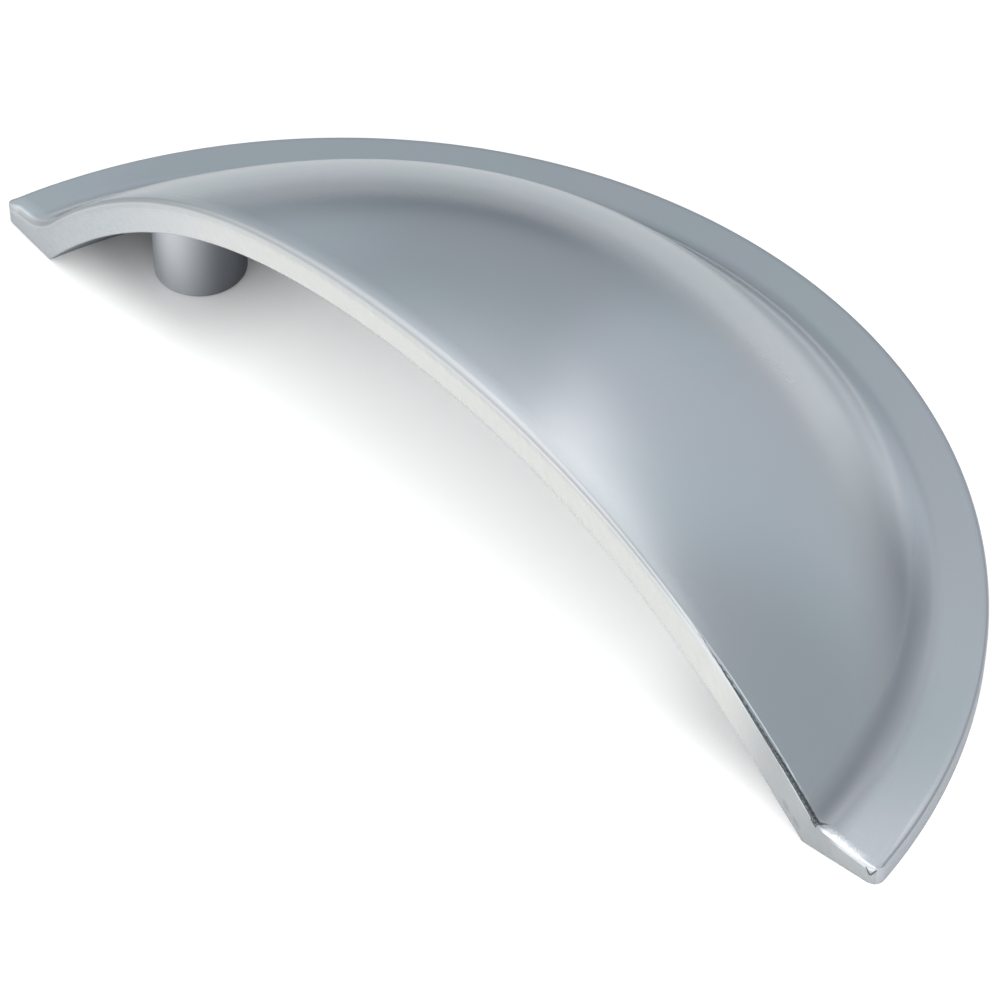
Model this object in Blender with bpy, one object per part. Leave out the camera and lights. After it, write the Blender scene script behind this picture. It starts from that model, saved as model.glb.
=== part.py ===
"""Half-moon cup pull for a drawer, cast in one piece with two screw posts.

The mounting plane is z = 0 and +Z points away from the drawer. X runs from tip to tip, and
the curved side of the half moon points to +Y. The origin is the middle of the bounding box
at the mounting plane. All lengths are in metres.
"""

import math

import bmesh
import bpy
from mathutils import Vector

# Outline, as seen from the front of the drawer
HOLE_CENTRES = 0.0640
END_REACH = 0.0150
ARC_DEPTH = 0.0398
FRONT_BOW = 0.0028
FRONT_LEAN = math.radians(3.5)
TIP_RADIUS = 0.0009

# Flange. Its root in the valley is higher at the two ends by the lip than round the back
FLANGE_WIDTH = 0.0050
RIM_THICKNESS = 0.00165
FLANGE_ROOT = 0.0024
BACK_ROOT = 0.0019
ENDS_TURN = math.radians(12)
BACK_TURN = math.radians(33)
RIM_ROUND = 0.0003

# Dome and its wall
HEIGHT = 0.0223
SIDE_FULLNESS = 2.40
BACK_FULLNESS = 2.95
CROWN_WALL = 0.0026
FOOT_WALL = 0.0026
VALLEY_BLEND = 0.0012
LIP_ROUND = 0.00035
LIP_UNDER_ROUND = 0.0002

# Screw posts and their blind holes
POST_DIAMETER = 0.0073
POST_SETBACK = 0.0075
POST_FILLET = 0.0008
BORE_DIAMETER = 0.0033
BORE_MOUTH = 0.0004
BORE_COVER = 0.0020
DRILL_POINT = math.radians(118)

# Number of flat spans that stand for each curve
DOME_COLUMN_COUNT = 28
FOOT_COLUMN_COUNT = 2
FLANGE_END_COLUMN_COUNT = 5
TIP_COLUMN_COUNT = 3
DOME_ROW_COUNT = 13
VALLEY_ROW_COUNT = 3
FLANGE_ROW_COUNT = 2
INNER_ROW_COUNT = 11
ROUND_ROW_COUNT = 2
POST_SIDE_COUNT = 32
FILLET_ROW_COUNT = 3

# Two arcs bound the half moon: the rim and the bowed front edge. Both centres lie on x = 0
HALF_CHORD = HOLE_CENTRES / 2 + END_REACH
RIM_RADIUS = (HALF_CHORD**2 + ARC_DEPTH**2) / (2 * ARC_DEPTH)
RIM_CENTRE = ARC_DEPTH - RIM_RADIUS
FRONT_RADIUS = (HALF_CHORD**2 + FRONT_BOW**2) / (2 * FRONT_BOW)
FRONT_CENTRE = FRONT_RADIUS - FRONT_BOW

# The valley is the circle where the flange meets the wall of the dome
VALLEY_RADIUS = RIM_RADIUS - FLANGE_WIDTH
WALL_SLOPE = (HEIGHT - FLANGE_ROOT) * SIDE_FULLNESS / VALLEY_RADIUS

# The foot is the circle where the inner face of the wall meets the mounting plane
FOOT_SHIFT = (FLANGE_ROOT - FOOT_WALL * math.hypot(1, WALL_SLOPE)) / WALL_SLOPE
FOOT_RADIUS = VALLEY_RADIUS + FOOT_SHIFT
INNER_HEIGHT = HEIGHT - CROWN_WALL

# Tolerances of the construction
WELD = 1e-7
LEAN_ROUND_COUNT = 4
POST_SINK = 0.00015
SHARP_ANGLE = math.radians(35)


def slope_height(radius, fullness, root):
    """Height of the dome before the valley softens its foot."""
    share = (radius / VALLEY_RADIUS) ** fullness
    return HEIGHT - (HEIGHT - root) * share


def flange_height(radius, root):
    """The flange thickens in a straight line from the rim to the valley."""
    share = (RIM_RADIUS - radius) / FLANGE_WIDTH
    return RIM_THICKNESS + (root - RIM_THICKNESS) * share


def polar(x, y):
    """Radius about the rim centre, with the dome's fullness and the flange's root there."""
    radius = math.hypot(x, y - RIM_CENTRE)
    towards_back = max(0.0, (y - RIM_CENTRE) / radius)
    fullness = SIDE_FULLNESS + (BACK_FULLNESS - SIDE_FULLNESS) * towards_back**4
    share = (math.asin(towards_back) - ENDS_TURN) / (BACK_TURN - ENDS_TURN)
    share = min(1.0, max(0.0, share))
    root = FLANGE_ROOT + (BACK_ROOT - FLANGE_ROOT) * share**2 * (3 - 2 * share)
    return radius, fullness, root


def outer_height(x, y):
    """Height of the outside: dome, a valley blended with a parabola, then flange."""
    radius, fullness, root = polar(x, y)
    share = (radius - VALLEY_RADIUS + VALLEY_BLEND) / (2 * VALLEY_BLEND)
    if share <= 0:
        return slope_height(radius, fullness, root)
    if share >= 1:
        return flange_height(radius, root)
    above = slope_height(VALLEY_RADIUS - VALLEY_BLEND, fullness, root)
    below = flange_height(VALLEY_RADIUS + VALLEY_BLEND, root)
    corner = 2 * share * (1 - share) * root
    return (1 - share) ** 2 * above + corner + share**2 * below


def inner_height(x, y):
    """Height of the hollow's ceiling, which comes down to the mounting plane at the foot."""
    radius, fullness, _ = polar(x, y)
    same_slope = FOOT_RADIUS * (HEIGHT - FLANGE_ROOT) / (VALLEY_RADIUS * INNER_HEIGHT)
    return max(0.0, INNER_HEIGHT * (1 - (radius / FOOT_RADIUS) ** (fullness * same_slope)))


def lean(height):
    """How far the front face has moved back at a height. The flange's ends stay upright."""
    return math.tan(FRONT_LEAN) * max(0.0, height - FLANGE_ROOT)


def front_meets(radius):
    """Where a circle about the rim centre crosses the front edge, right of the middle."""
    apart = FRONT_CENTRE - RIM_CENTRE
    along = (radius**2 - FRONT_RADIUS**2 + apart**2) / (2 * apart)
    return Vector((math.sqrt(radius**2 - along**2), RIM_CENTRE + along))


def tip_corner():
    """Centre of the small arc that rounds the right tip, and where it starts and ends."""
    apart = FRONT_CENTRE - RIM_CENTRE
    from_rim = RIM_RADIUS - TIP_RADIUS
    from_front = FRONT_RADIUS - TIP_RADIUS
    along = (from_rim**2 - from_front**2 + apart**2) / (2 * apart)
    centre = Vector((math.sqrt(from_rim**2 - along**2), RIM_CENTRE + along))
    on_front = (centre - Vector((0, FRONT_CENTRE))).angle_signed(Vector((1, 0)))
    on_rim = (centre - Vector((0, RIM_CENTRE))).angle_signed(Vector((1, 0)))
    return centre, on_front, on_rim


def on_arc(centre, radius, angle):
    return centre + radius * Vector((math.cos(angle), math.sin(angle)))


def steps(start, end, count):
    """Even steps from start to end, without the start."""
    return [start + (end - start) * step / count for step in range(1, count + 1)]


def stations():
    """Pairs of plan points, on the front edge and on the rim, from the middle to the right tip."""
    corner, on_front, on_rim = tip_corner()
    front_end = on_arc(corner, TIP_RADIUS, on_front)
    knots = [0.0, front_meets(FOOT_RADIUS).x, front_meets(VALLEY_RADIUS).x, front_end.x]
    counts = (DOME_COLUMN_COUNT, FOOT_COLUMN_COUNT, FLANGE_END_COLUMN_COUNT)
    across = [0.0]
    for start, end, count in zip(knots, knots[1:], counts):
        across += steps(start, end, count)
    pairs = []
    for x in across:
        y = FRONT_CENTRE - math.sqrt(FRONT_RADIUS**2 - x**2)
        angle = math.pi / 2 + (on_rim - math.pi / 2) * x / front_end.x
        rim = on_arc(Vector((0, RIM_CENTRE)), RIM_RADIUS, angle)
        pairs.append((Vector((x, y)), rim))
    middle = (on_front + on_rim) / 2
    fronts = steps(on_front, middle, TIP_COLUMN_COUNT)
    rims = steps(on_rim, middle, TIP_COLUMN_COUNT)
    for front, rim in zip(fronts, rims):
        pairs.append((on_arc(corner, TIP_RADIUS, front), on_arc(corner, TIP_RADIUS, rim)))
    return pairs


def crossing(start, end, radius):
    """Share of the way from start to end at which a circle about the rim centre is crossed."""
    along = end - start
    from_centre = start - Vector((0, RIM_CENTRE))
    inside = radius**2 - from_centre.length_squared
    if inside <= 0 or along.length < WELD:
        return 0.0
    towards = along.dot(from_centre)
    reach = math.sqrt(towards**2 + along.length_squared * inside)
    return min(1.0, (reach - towards) / along.length_squared)


def rounded(corner, before, after):
    """Points of a quarter round that turns a corner, without its first."""
    turn = steps(0, math.pi / 2, ROUND_ROW_COUNT)
    return [
        corner + (before - corner) * (1 - math.sin(a)) + (after - corner) * (1 - math.cos(a))
        for a in turn
    ]


def on_front_face(front, height):
    return Vector((front.x, front.y + lean(height), height))


def edge_of(front, surface):
    """Where the leaning front face meets a surface."""
    height = surface(front.x, front.y)
    for _ in range(LEAN_ROUND_COUNT):
        height = surface(front.x, front.y + lean(height))
    return on_front_face(front, height)


def section(front, rim):
    """Closed outline of the metal in the upright cut from a front point to a rim point."""
    reach = (rim - front).length
    lip_round = min(LIP_ROUND, reach / 4)
    under_round = min(LIP_UNDER_ROUND, reach / 4)
    rim_round = min(RIM_ROUND, reach / 4)
    upper = edge_of(front, outer_height)
    under = edge_of(front, inner_height)
    share = 1 / max(reach, WELD)

    # Outside, from the lip over the dome, the valley and the flange
    outside = [lip_round * share]
    for radius, count in (
        (VALLEY_RADIUS - VALLEY_BLEND, DOME_ROW_COUNT),
        (VALLEY_RADIUS + VALLEY_BLEND, VALLEY_ROW_COUNT),
    ):
        until = max(outside[-1], crossing(upper.xy, rim, radius))
        outside += steps(outside[-1], until, count)
    outside += steps(outside[-1], max(outside[-1], 1 - rim_round * share), FLANGE_ROW_COUNT)
    loop = []
    for along in outside:
        place = upper.xy.lerp(rim, along)
        loop.append(Vector((place.x, place.y, outer_height(place.x, place.y))))

    # Round the rim and down to the mounting plane
    rim_edge = Vector((rim.x, rim.y, outer_height(rim.x, rim.y)))
    loop += rounded(rim_edge, loop[-1], rim_edge - Vector((0, 0, rim_round)))
    loop.append(Vector((rim.x, rim.y, 0)))

    # Inside, from the foot up to the lip
    last = under_round * share
    foot = max(last, crossing(under.xy, rim, FOOT_RADIUS))
    for along in [foot] + steps(foot, last, INNER_ROW_COUNT):
        place = under.xy.lerp(rim, along)
        loop.append(Vector((place.x, place.y, inner_height(place.x, place.y))))

    # Up the front face, with both of its edges rounded
    loop += rounded(under, loop[-1], on_front_face(front, under.z + under_round))
    loop.append(on_front_face(front, upper.z - lip_round))
    loop += rounded(upper, loop[-1], loop[0])[:-1]
    return loop


def loft(loops):
    """Skins a row of closed loops, and welds the points that have run together."""
    mesh = bmesh.new()
    rows = [[mesh.verts.new(point) for point in loop] for loop in loops]
    for left, right in zip(rows, rows[1:]):
        for k in range(len(left)):
            mesh.faces.new((left[k - 1], left[k], right[k], right[k - 1]))
    bmesh.ops.remove_doubles(mesh, verts=mesh.verts, dist=WELD)
    return mesh


def into_object(mesh, name):
    """Turns the faces outwards and puts the mesh in the scene under a name."""
    bmesh.ops.recalc_face_normals(mesh, faces=mesh.faces)
    data = bpy.data.meshes.new(name)
    mesh.to_mesh(data)
    mesh.free()
    data.shade_smooth()
    data.set_sharp_from_angle(angle=SHARP_ANGLE)
    obj = bpy.data.objects.new(name, data)
    bpy.context.scene.collection.objects.link(obj)
    return obj


def shell():
    """The cast shell: dome, flange and lip, lofted from one tip to the other."""
    right = [section(front, rim) for front, rim in stations()]
    left = [[Vector((-p.x, p.y, p.z)) for p in loop] for loop in reversed(right[1:])]
    return into_object(loft(left + right), "cup_pull")


def turned(centre, rings):
    """A solid of rings about an upright axis. Each ring is a radius and a height rule."""
    mesh = bmesh.new()
    circles = []
    for radius, height in rings:
        circle = []
        for side in range(POST_SIDE_COUNT):
            x, y = on_arc(centre, radius, 2 * math.pi * side / POST_SIDE_COUNT)
            circle.append(mesh.verts.new((x, y, height(x, y))))
        circles.append(circle)
    for below, above in zip(circles, circles[1:]):
        for k in range(POST_SIDE_COUNT):
            mesh.faces.new((below[k - 1], below[k], above[k], above[k - 1]))
    bmesh.ops.remove_doubles(mesh, verts=mesh.verts, dist=WELD)
    caps = bmesh.ops.holes_fill(mesh, edges=mesh.edges, sides=POST_SIDE_COUNT)["faces"]
    bmesh.ops.poke(mesh, faces=caps)
    return mesh


def post(centre):
    """A round post from the mounting plane into the wall, with a fillet at its root."""
    radius = POST_DIAMETER / 2
    rings = [(radius, lambda x, y: 0.0)]
    for turn in [0.0] + steps(0, math.pi / 2, FILLET_ROW_COUNT):
        flare = POST_FILLET * (1 - math.cos(turn))
        drop = POST_FILLET * (1 - math.sin(turn)) - POST_SINK
        rings.append((radius + flare, lambda x, y, drop=drop: inner_height(x, y) - drop))
    rings.append((
        radius + POST_FILLET,
        lambda x, y: (inner_height(x, y) + outer_height(x, y)) / 2,
    ))
    return turned(centre, rings)


def bore(centre):
    """The drill that makes a blind hole, with a chamfer at its mouth."""
    radius = BORE_DIAMETER / 2
    turns = [2 * math.pi * side / POST_SIDE_COUNT for side in range(POST_SIDE_COUNT)]
    around = [on_arc(centre, radius, turn) for turn in turns]
    depth = min(outer_height(place.x, place.y) for place in around) - BORE_COVER
    point = radius / math.tan(DRILL_POINT / 2)
    sizes = (
        (radius + 2 * BORE_MOUTH, -BORE_MOUTH),
        (radius, BORE_MOUTH),
        (radius, depth),
        (0.0, depth + point),
    )
    return turned(centre, [(size, lambda x, y, z=z: z) for size, z in sizes])


def combine(obj, other, operation):
    """Adds a Boolean with a helper object, which is left out of the model itself."""
    other.hide_render = True
    other.display_type = "WIRE"
    modifier = obj.modifiers.new(other.name, "BOOLEAN")
    modifier.operation = operation
    modifier.solver = "EXACT"
    modifier.object = other


def satin_chrome():
    material = bpy.data.materials.new("satin_chrome")
    material.use_nodes = True
    shader = material.node_tree.nodes["Principled BSDF"]
    shader.inputs["Base Color"].default_value = (0.55, 0.57, 0.60, 1)
    shader.inputs["Metallic"].default_value = 1.0
    shader.inputs["Roughness"].default_value = 0.32
    return material


def clear_scene():
    for obj in list(bpy.data.objects):
        bpy.data.objects.remove(obj, do_unlink=True)


def build():
    clear_scene()
    cup = shell()
    cup.data.materials.append(satin_chrome())
    depth_range = [vertex.co.y for vertex in cup.data.vertices]
    middle = (min(depth_range) + max(depth_range)) / 2
    pieces = [cup]
    for side, name in ((-1, "left"), (1, "right")):
        centre = Vector((side * HOLE_CENTRES / 2, POST_SETBACK))
        pieces.append(into_object(post(centre), name + "_post"))
        combine(cup, pieces[-1], "UNION")
        pieces.append(into_object(bore(centre), name + "_bore"))
    for piece in pieces:
        piece.location.y = -middle
        if piece.name.endswith("_bore"):
            combine(cup, piece, "DIFFERENCE")


build()
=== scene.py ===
"""Looks of a half-moon cup pull: one casting in satin chrome, lying on its back on a pale floor.

All lengths are in metres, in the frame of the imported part: the mounting plane is z = 0, +Z
points away from the drawer, and +Y points to the curved back of the flange.
"""

import math
from types import SimpleNamespace

import bmesh
import bpy
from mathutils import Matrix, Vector, noise


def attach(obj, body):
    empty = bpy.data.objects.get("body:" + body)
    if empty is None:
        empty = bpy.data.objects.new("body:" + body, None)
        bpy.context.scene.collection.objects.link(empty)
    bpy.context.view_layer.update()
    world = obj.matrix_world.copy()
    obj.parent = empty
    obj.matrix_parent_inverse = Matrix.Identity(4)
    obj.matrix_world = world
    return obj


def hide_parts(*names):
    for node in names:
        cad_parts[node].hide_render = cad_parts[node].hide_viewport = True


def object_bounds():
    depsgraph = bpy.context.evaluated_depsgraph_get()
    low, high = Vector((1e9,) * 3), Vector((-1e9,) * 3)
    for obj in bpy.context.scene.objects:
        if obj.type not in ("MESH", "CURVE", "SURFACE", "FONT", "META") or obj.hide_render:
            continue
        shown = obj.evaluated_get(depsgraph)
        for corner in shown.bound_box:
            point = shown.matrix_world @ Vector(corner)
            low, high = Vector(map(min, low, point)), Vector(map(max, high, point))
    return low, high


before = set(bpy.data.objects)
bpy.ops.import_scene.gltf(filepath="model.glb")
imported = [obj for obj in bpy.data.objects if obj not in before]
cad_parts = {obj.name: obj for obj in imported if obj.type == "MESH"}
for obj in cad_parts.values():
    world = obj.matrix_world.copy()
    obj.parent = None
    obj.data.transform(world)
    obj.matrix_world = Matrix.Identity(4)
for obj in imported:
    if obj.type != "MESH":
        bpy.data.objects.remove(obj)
cad_low, cad_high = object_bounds()

# The shell is one zinc alloy casting: a low dome, open at the front, that runs out into a flat
# flange round its curved side. In plan it is two arcs, the rim and the slightly bowed front.
HALF_CHORD = 0.0470
ARC_DEPTH = 0.0398
FRONT_BOW = 0.0028
FRONT_LEAN = math.radians(3.5)
TIP_RADIUS = 0.0009
FLANGE_WIDTH = 0.0050
RIM_THICKNESS = 0.00165
FLANGE_ROOT = 0.0024
BACK_ROOT = 0.0019
ENDS_TURN = math.radians(12)
BACK_TURN = math.radians(33)
HEIGHT = 0.0223
SIDE_FULLNESS = 2.40
BACK_FULLNESS = 2.95
BACK_POWER = 4
WALL = 0.0026

# Polishing has left every edge with its own softness: broad at the left end, crisp at the right.
RIM_ROUND = 0.0004
LIP_ROUND = 0.0005
LIP_ROUND_LEFT = 0.00095
LIP_ROUND_RIGHT = 0.00022
LIP_UNDER_ROUND = 0.0002
VALLEY_BLEND = 0.0012
VALLEY_BLEND_LEFT = 0.0021
VALLEY_BLEND_RIGHT = 0.0006
VALLEY_BLEND_BACK = 0.0018
LIP_LEFT = (0.036, 0.043)
LIP_RIGHT = (0.010, 0.028)
VALLEY_LEFT = (0.030, 0.042)
VALLEY_RIGHT = (0.028, 0.041)
VALLEY_RIGHT_FRONT = (-0.010, -0.001)
VALLEY_BACK = (0.45, 0.85)

HALF_COLUMNS = (170, 12, 26)
TIP_COLUMNS = 8
HOLLOW_ROWS = 34
FACE_ROWS = 8
ROUND_ROWS = 7
DOME_ROWS = 62
VALLEY_ROWS = 16
FLANGE_ROWS = 10
BACK_ROWS = 3
EDGE_TRIES = 4
LIP_CROWDING = 1.6
WELD = 1e-7
MERGE = 0.000004
SHARP_ANGLE = math.radians(35)
TO_MM = 1000

RIM_RADIUS = (HALF_CHORD**2 + ARC_DEPTH**2) / (2 * ARC_DEPTH)
RIM_CENTRE = ARC_DEPTH - RIM_RADIUS
FRONT_RADIUS = (HALF_CHORD**2 + FRONT_BOW**2) / (2 * FRONT_BOW)
FRONT_CENTRE = FRONT_RADIUS - FRONT_BOW
VALLEY_RADIUS = RIM_RADIUS - FLANGE_WIDTH
WALL_SLOPE = (HEIGHT - FLANGE_ROOT) * SIDE_FULLNESS / VALLEY_RADIUS
FOOT_RADIUS = VALLEY_RADIUS + (FLANGE_ROOT - WALL * math.hypot(1, WALL_SLOPE)) / WALL_SLOPE
CEILING = HEIGHT - WALL
TO_ROW_FRAME = Vector((0, cad_high.y - ARC_DEPTH, 0))


def eased(value, start, end):
    """0 before start, 1 after end, and an even ease between them."""
    share = min(1.0, max(0.0, (value - start) / (end - start)))
    return share * share * (3 - 2 * share)


def polar(x, y):
    """Radius about the rim centre, with the dome's fullness and the flange's root there."""
    radius = math.hypot(x, y - RIM_CENTRE)
    towards_back = max(0.0, (y - RIM_CENTRE) / radius)
    fullness = SIDE_FULLNESS + (BACK_FULLNESS - SIDE_FULLNESS) * towards_back**BACK_POWER
    sunk = eased(math.asin(towards_back), ENDS_TURN, BACK_TURN)
    return radius, fullness, FLANGE_ROOT + (BACK_ROOT - FLANGE_ROOT) * sunk


def dome_height(radius, fullness, root):
    return HEIGHT - (HEIGHT - root) * (radius / VALLEY_RADIUS) ** fullness


def flange_height(radius, root):
    share = (RIM_RADIUS - radius) / FLANGE_WIDTH
    return RIM_THICKNESS + (root - RIM_THICKNESS) * share


def valley_blend(x, y):
    """Half the width of the soft valley between the dome and the flange."""
    towards_back = (y - RIM_CENTRE) / math.hypot(x, y - RIM_CENTRE)
    left = (VALLEY_BLEND_LEFT - VALLEY_BLEND) * eased(-x, *VALLEY_LEFT)
    right = (VALLEY_BLEND_RIGHT - VALLEY_BLEND) * eased(x, *VALLEY_RIGHT)
    right *= eased(-y, *VALLEY_RIGHT_FRONT)
    back = (VALLEY_BLEND_BACK - VALLEY_BLEND) * eased(towards_back, *VALLEY_BACK)
    return VALLEY_BLEND + left + right + back


def outer_height(x, y):
    """Height of the outside: dome, a valley blended with a parabola, then flange."""
    radius, fullness, root = polar(x, y)
    blend = valley_blend(x, y)
    share = (radius - VALLEY_RADIUS + blend) / (2 * blend)
    if share <= 0:
        return dome_height(radius, fullness, root)
    if share >= 1:
        return flange_height(radius, root)
    above = dome_height(VALLEY_RADIUS - blend, fullness, root)
    below = flange_height(VALLEY_RADIUS + blend, root)
    corner = 2 * share * (1 - share) * root
    return (1 - share) ** 2 * above + corner + share**2 * below


def inner_height(x, y):
    """Height of the hollow's ceiling, which comes down to the mounting plane at the foot."""
    radius, fullness, _ = polar(x, y)
    same_slope = FOOT_RADIUS * (HEIGHT - FLANGE_ROOT) / (VALLEY_RADIUS * CEILING)
    return max(0.0, CEILING * (1 - (radius / FOOT_RADIUS) ** (fullness * same_slope)))


def lean(height):
    """How far the front face has moved back at a height. The flange's ends stay upright."""
    return math.tan(FRONT_LEAN) * max(0.0, height - FLANGE_ROOT)


def front_meets(radius):
    """Where a circle about the rim centre crosses the front edge, right of the middle."""
    apart = FRONT_CENTRE - RIM_CENTRE
    along = (radius**2 - FRONT_RADIUS**2 + apart**2) / (2 * apart)
    return math.sqrt(radius**2 - along**2)


def on_arc(centre, radius, angle):
    return centre + radius * Vector((math.cos(angle), math.sin(angle)))


def steps(start, end, count):
    """Even steps from start to end, without the start."""
    return [start + (end - start) * step / count for step in range(1, count + 1)]


def stations():
    """Pairs of plan points, on the front edge and on the rim, from the left tip to the right."""
    apart = FRONT_CENTRE - RIM_CENTRE
    from_rim = RIM_RADIUS - TIP_RADIUS
    along = (from_rim**2 - (FRONT_RADIUS - TIP_RADIUS) ** 2 + apart**2) / (2 * apart)
    corner = Vector((math.sqrt(from_rim**2 - along**2), RIM_CENTRE + along))
    on_front = (corner - Vector((0, FRONT_CENTRE))).angle_signed(Vector((1, 0)))
    on_rim = (corner - Vector((0, RIM_CENTRE))).angle_signed(Vector((1, 0)))
    end = on_arc(corner, TIP_RADIUS, on_front).x
    knots = [0.0, front_meets(FOOT_RADIUS), front_meets(VALLEY_RADIUS), end]
    across = [0.0]
    for start, stop, count in zip(knots, knots[1:], HALF_COLUMNS):
        across += steps(start, stop, count)
    right = []
    for x in across:
        angle = math.pi / 2 + (on_rim - math.pi / 2) * x / end
        front = Vector((x, FRONT_CENTRE - math.sqrt(FRONT_RADIUS**2 - x**2)))
        right.append((front, on_arc(Vector((0, RIM_CENTRE)), RIM_RADIUS, angle)))
    middle = (on_front + on_rim) / 2
    turns = zip(steps(on_front, middle, TIP_COLUMNS), steps(on_rim, middle, TIP_COLUMNS))
    for front, rim in turns:
        right.append((on_arc(corner, TIP_RADIUS, front), on_arc(corner, TIP_RADIUS, rim)))
    left = [(Vector((-f.x, f.y)), Vector((-r.x, r.y))) for f, r in reversed(right[1:])]
    return left + right


def crossing(start, end, radius):
    """Share of the way from start to end at which a circle about the rim centre is crossed."""
    along = end - start
    from_centre = start - Vector((0, RIM_CENTRE))
    inside = radius**2 - from_centre.length_squared
    if inside <= 0 or along.length < WELD:
        return 0.0
    towards = along.dot(from_centre)
    reach = math.sqrt(towards**2 + along.length_squared * inside)
    return min(1.0, (reach - towards) / along.length_squared)


def rounded(corner, before, after):
    """Points of a quarter round that turns a corner, without its first."""
    return [
        corner + (before - corner) * (1 - math.sin(turn)) + (after - corner) * (1 - math.cos(turn))
        for turn in steps(0, math.pi / 2, ROUND_ROWS)
    ]


def on_face(front, height):
    return Vector((front.x, front.y + lean(height), height))


def edge_of(front, surface):
    """Where the leaning front face meets a surface."""
    height = surface(front.x, front.y)
    for _ in range(EDGE_TRIES):
        height = surface(front.x, front.y + lean(height))
    return on_face(front, height)


# The right end of the lip was never buffed: a ragged groove runs along its upper edge to the
# valley, and beyond it the flange's edge still carries a thin crumbly burr.
GROOVE_START = 0.0285
GROOVE_END = 0.0420
GROOVE_WIDTH = 0.00030
GROOVE_DEPTH = 0.00005
GROOVE_FULL = 0.036
GROOVE_FLARE = 0.7
GROOVE_RAGGED = ((0.45, 900, 3.1), (0.3, 3100, 7.7))
GROOVE_LEAST = 0.25
BURR_START = 0.0422
BURR_END = 0.0464
BURR_WIDTH = 0.00045
BURR_HEIGHT = 0.00003
BURR_FULL = (0.0428, 0.0459)
BURR_LEVEL = 0.6
BURR_RAGGED = (0.8, 2600, 3000, 1.5)


def groove_width(x):
    """Width of the ragged groove at a place along the lip, from nothing to its full size."""
    ragged = 1
    for share, scale, seed in GROOVE_RAGGED:
        ragged += share * noise.noise(Vector((x * scale, seed, 0)))
    width = GROOVE_WIDTH * eased(x, GROOVE_START, GROOVE_END) ** GROOVE_FLARE
    return width * max(GROOVE_LEAST, ragged)


def edge_wear(x, inward):
    """How far the skin is raised at a distance inward from the lip's upper edge."""
    if GROOVE_START < x < GROOVE_END:
        share = inward / max(groove_width(x), WELD)
        return -GROOVE_DEPTH * eased(1 - share, 0, 0.5) * eased(x, GROOVE_START, GROOVE_FULL)
    if BURR_START < x < BURR_END:
        share, along, across, seed = BURR_RAGGED
        crumbly = BURR_LEVEL + share * noise.noise(Vector((x * along, inward * across, seed)))
        full, thins = BURR_FULL
        fade = eased(x, BURR_START, full) * (1 - eased(x, thins, BURR_END))
        return BURR_HEIGHT * crumbly * fade * (1 - eased(inward, 0, BURR_WIDTH))
    return 0.0


def section(front, rim):
    """Closed outline of the metal in the upright cut from a front point to a rim point."""
    reach = (rim - front).length
    soft_left = (LIP_ROUND_LEFT - LIP_ROUND) * eased(-front.x, *LIP_LEFT)
    crisp_right = (LIP_ROUND_RIGHT - LIP_ROUND) * eased(front.x, *LIP_RIGHT)

    # Near the tips no round takes more than its share of the narrow section
    lip_round = min(LIP_ROUND + soft_left + crisp_right, reach / 3)
    under_round = min(LIP_UNDER_ROUND, reach / 4)
    rim_round = min(RIM_ROUND, reach / 4)
    upper = edge_of(front, outer_height)
    under = edge_of(front, inner_height)
    share = 1 / max(reach, WELD)

    # Inside, from the foot up to the lip
    last = under_round * share
    foot = max(last, crossing(under.xy, rim, FOOT_RADIUS))
    loop = []
    for along in [foot] + steps(foot, last, HOLLOW_ROWS):
        place = under.xy.lerp(rim, along)
        loop.append(Vector((place.x, place.y, inner_height(place.x, place.y))))

    # Up the front face
    loop += rounded(under, loop[-1], on_face(front, under.z + under_round))
    for height in steps(under.z + under_round, upper.z - lip_round, FACE_ROWS):
        loop.append(on_face(front, height))
    lip_row = len(loop) + ROUND_ROWS // 2

    # Outside, from the lip over the dome, the valley and the flange. Rows crowd at the lip
    outside = [lip_round * share]
    blend = valley_blend(rim.x, rim.y)
    until = max(outside[-1], crossing(upper.xy, rim, VALLEY_RADIUS - blend))
    crowded = [step**LIP_CROWDING for step in steps(0, 1, DOME_ROWS)]
    outside += [outside[0] + (until - outside[0]) * step for step in crowded]
    until = max(outside[-1], crossing(upper.xy, rim, VALLEY_RADIUS + blend))
    outside += steps(outside[-1], until, VALLEY_ROWS)
    until = max(outside[-1], 1 - rim_round * share)
    outside += steps(outside[-1], until, FLANGE_ROWS)
    skin = []
    for along in outside:
        place = upper.xy.lerp(rim, along)
        raised = edge_wear(front.x, (along - outside[0]) * reach)
        skin.append(Vector((place.x, place.y, outer_height(place.x, place.y) + raised)))
    loop += rounded(upper, loop[-1], skin[0])
    loop += skin[1:]

    # Round the rim, down to the mounting plane and back to the foot
    rim_edge = Vector((rim.x, rim.y, outer_height(rim.x, rim.y)))
    loop += rounded(rim_edge, loop[-1], rim_edge - Vector((0, 0, rim_round)))
    for height in steps(loop[-1].z, 0, FACE_ROWS):
        loop.append(Vector((rim.x, rim.y, height)))
    for along in steps(0, 1, BACK_ROWS):
        loop.append(Vector((rim.x, rim.y, 0)).lerp(loop[0], along))
    return loop, lip_row


def along_wall(loop, start):
    """Distance of each point of an outline from its start row, measured on the metal."""
    run = [0.0]
    for before, after in zip(loop, loop[1:]):
        run.append(run[-1] + (after - before).length)
    return [length - run[start] for length in run]


def into_object(mesh, name):
    """Merges what has run together, turns the faces outwards and puts the mesh in the scene."""
    bmesh.ops.remove_doubles(mesh, verts=mesh.verts, dist=MERGE)
    bmesh.ops.recalc_face_normals(mesh, faces=mesh.faces)
    data = bpy.data.meshes.new(name)
    mesh.to_mesh(data)
    mesh.free()
    obj = bpy.data.objects.new(name, data)
    bpy.context.scene.collection.objects.link(obj)
    return obj


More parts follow.
